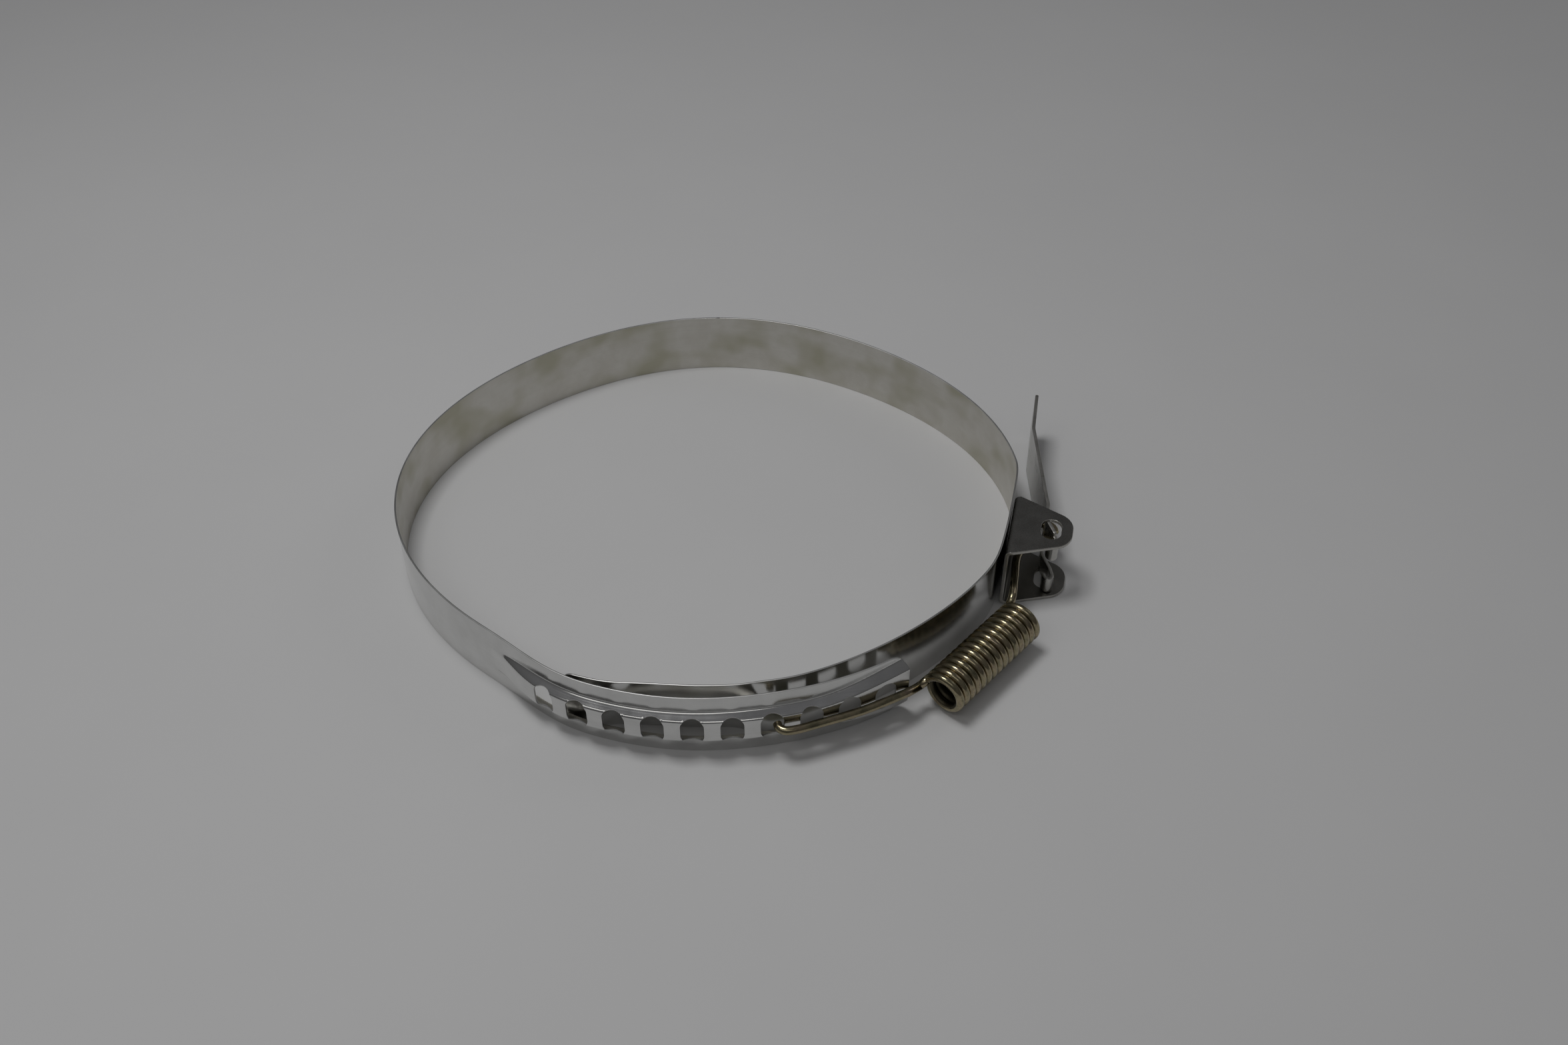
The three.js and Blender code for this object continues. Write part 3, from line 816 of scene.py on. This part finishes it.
def tail_leg():
    """The leg from the coil's last turn to the round hook in the lever's hole."""

    def hook(turn):
        """A point of the round hook."""
        angle = math.radians(turn)
        return (swivel[0] + TAIL_HOOK * math.cos(angle), swivel[1] + TAIL_HOOK * math.sin(angle), MIDDLE)

    points = [
        coil_point(COIL_TURNS + 0.01), coil_point(COIL_TURNS + 0.06),
        (83.4, -41, 11), (83.9, -39.6, 11.7), (85.25, -32.7, 11.6), (87.1, -23.6, 11), (90.6, -17.4, 10.3),
    ]
    points += [hook(turn) for turn in range(200, -11, -15)]
    return smooth_line(points, 8)


def spring():
    """One bent wire: hook leg, close coil and tail leg."""
    per_turn, sides = 44, 18
    coil = [coil_point(t) for t in np.arange(0, COIL_TURNS, 1 / per_turn)]
    path = np.array(hook_leg() + coil + tail_leg())
    steps = np.linalg.norm(np.diff(path, axis=0), axis=1)
    path = path[np.concatenate([[True], steps > 0.02])]
    count = len(path)
    tangent = np.gradient(path, axis=0)
    tangent /= np.linalg.norm(tangent, axis=1)[:, None]
    side = np.cross(tangent[0], UP)
    frames = []
    for t in tangent:
        side = side - t * (side @ t)
        side /= np.linalg.norm(side)
        frames.append((side.copy(), np.cross(t, side)))
    travel = np.concatenate([[0], np.cumsum(np.linalg.norm(np.diff(path, axis=0), axis=1))])
    around = WIRE * math.pi / sides
    vertices, normals, uvs = [], [], []
    for i in range(count):
        a, b = frames[i]
        for k in range(sides):
            turn = 2 * math.pi * k / sides
            ray = a * math.cos(turn) + b * math.sin(turn)
            vertices.append(path[i] + ray * WIRE / 2)
            normals.append(ray)
            uvs.append((travel[i], k * around))
    along = (path - COIL_START) @ COIL_AXIS
    inwards = COIL_START + along[:, None] * COIL_AXIS - path
    reach = np.linalg.norm(inwards, axis=1)
    coiled = (along > 0) & (along < COIL_PITCH * COIL_TURNS) & (np.abs(reach - COIL_RADIUS) < 0.3)
    facing_axis = 0.3
    faces, slots = [], []

    # The wire, with painted shade (its darker, duller copy) where it faces the coil's axis, inside the
    # coil's hollow
    for i in range(count - 1):
        for k in range(sides):
            j = (k + 1) % sides
            faces.append((i * sides + k, i * sides + j, (i + 1) * sides + j, (i + 1) * sides + k))
            slots.append(int(coiled[i] and normals[i * sides + k] @ inwards[i] > facing_axis * reach[i]))

    # Its two ends, eased by rings of a smaller radius that stand a little further out
    for end, sign in ((0, -1), (count - 1, 1)):
        ring = [end * sides + k for k in range(sides)]
        for inset, push in ((0.86, 0.1), (0.6, 0.16)):
            first = len(vertices)
            for k in range(sides):
                ray = normals[end * sides + k]
                vertices.append(path[end] + ray * WIRE / 2 * inset + tangent[end] * sign * push)
                normals.append(ray * 0.5 + tangent[end] * sign)
                uvs.append((travel[end], k * around))
            new = list(range(first, first + sides))
            for k in range(sides):
                j = (k + 1) % sides
                quad = (ring[k], ring[j], new[j], new[k])
                faces.append(quad if sign > 0 else quad[::-1])
            ring = new
        faces.append(tuple(ring) if sign > 0 else tuple(reversed(ring)))
    slots += [0] * (len(faces) - len(slots))
    normals = np.array(normals)
    normals /= np.linalg.norm(normals, axis=1)[:, None]
    materials = [wire_metal, wire_painted_shade]
    vertices, uvs = np.array(vertices), np.array(uvs)
    made = finish_mesh("spring_wire_whole", vertices, normals, faces, slots, materials, uvs)
    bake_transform(made)
    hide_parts("spring_coil", "spring_hook_leg", "spring_tail_leg")


spring()


# ---------------------------------------------------------------- stage

def floor():
    """The pale matt floor under the part."""
    mesh = bpy.data.meshes.new("floor")
    size = 3.0
    corners = [(-size, -size, 0), (size, -size, 0), (size, size, 0), (-size, size, 0)]
    mesh.from_pydata(corners, [], [(0, 1, 2, 3)])
    material, tree, shader = node_material("floor_paint")
    shader.inputs["Roughness"].default_value = 0.62
    shader.inputs["Specular IOR Level"].default_value = 0.35
    clouds = noise(tree, mapped(tree, "Object", (1, 1, 1)), 9.0, 4, 0.6)
    base = ramp(tree, clouds, [(0.3, (0.74, 0.74, 0.74)), (0.7, (0.76, 0.76, 0.76))])
    tree.links.new(base, shader.inputs["Base Color"])
    mesh.materials.append(material)
    made = bpy.data.objects.new("floor", mesh)
    bpy.context.scene.collection.objects.link(made)


floor()


def area_light(name, at, size, energy, colour=(1, 1, 1)):
    """A rectangular light aimed at the frame's origin."""
    data = bpy.data.lights.new(name, "AREA")
    data.shape = "RECTANGLE"
    data.size, data.size_y = size
    data.energy = energy
    data.color = colour
    made = bpy.data.objects.new(name, data)
    made.location = at
    made.rotation_euler = (-Vector(at)).to_track_quat("-Z", "Y").to_euler()
    bpy.context.scene.collection.objects.link(made)


area_light("front_panel", (-0.2, -0.5, 0.76), (0.85, 0.2), 0.5, (1, 0.985, 0.96))
area_light("ceiling", (-0.18, 0.02, 0.8), (0.24, 0.24), 1.75)
area_light("right_back", (0.9, 0.5, 0.7), (0.4, 0.4), 0.3)

world = bpy.data.worlds.new("studio")
world.use_nodes = True
bpy.context.scene.world = world
tree = world.node_tree
tree.nodes["Background"].inputs["Strength"].default_value = 1.0
coords = tree.nodes.new("ShaderNodeTexCoord")
split = tree.nodes.new("ShaderNodeSeparateXYZ")
tree.links.new(coords.outputs["Generated"], split.inputs[0])
height = spread(tree, split.outputs[2], 0, 1, -0.1, 1)
sky = ramp(tree, height, [(0.0, (0.04, 0.04, 0.04)), (0.35, (0.08, 0.08, 0.08)), (1.0, (0.12, 0.12, 0.125))])
tree.links.new(sky, tree.nodes["Background"].inputs["Color"])

camera_data = bpy.data.cameras.new("photo_view")
camera_data.lens = 35
camera_data.sensor_width = 36
camera_data.clip_start = 0.01
camera = bpy.data.objects.new("photo_view", camera_data)
camera.location = (0.015358, -0.331255, 0.3068)
looking_down = 42.3
camera.rotation_euler = (math.radians(90 - looking_down), 0, 0)
bpy.context.scene.collection.objects.link(camera)
bpy.context.scene.camera = camera
bpy.context.scene.view_settings.view_transform = "Standard"

bpy.context.view_layer.update()
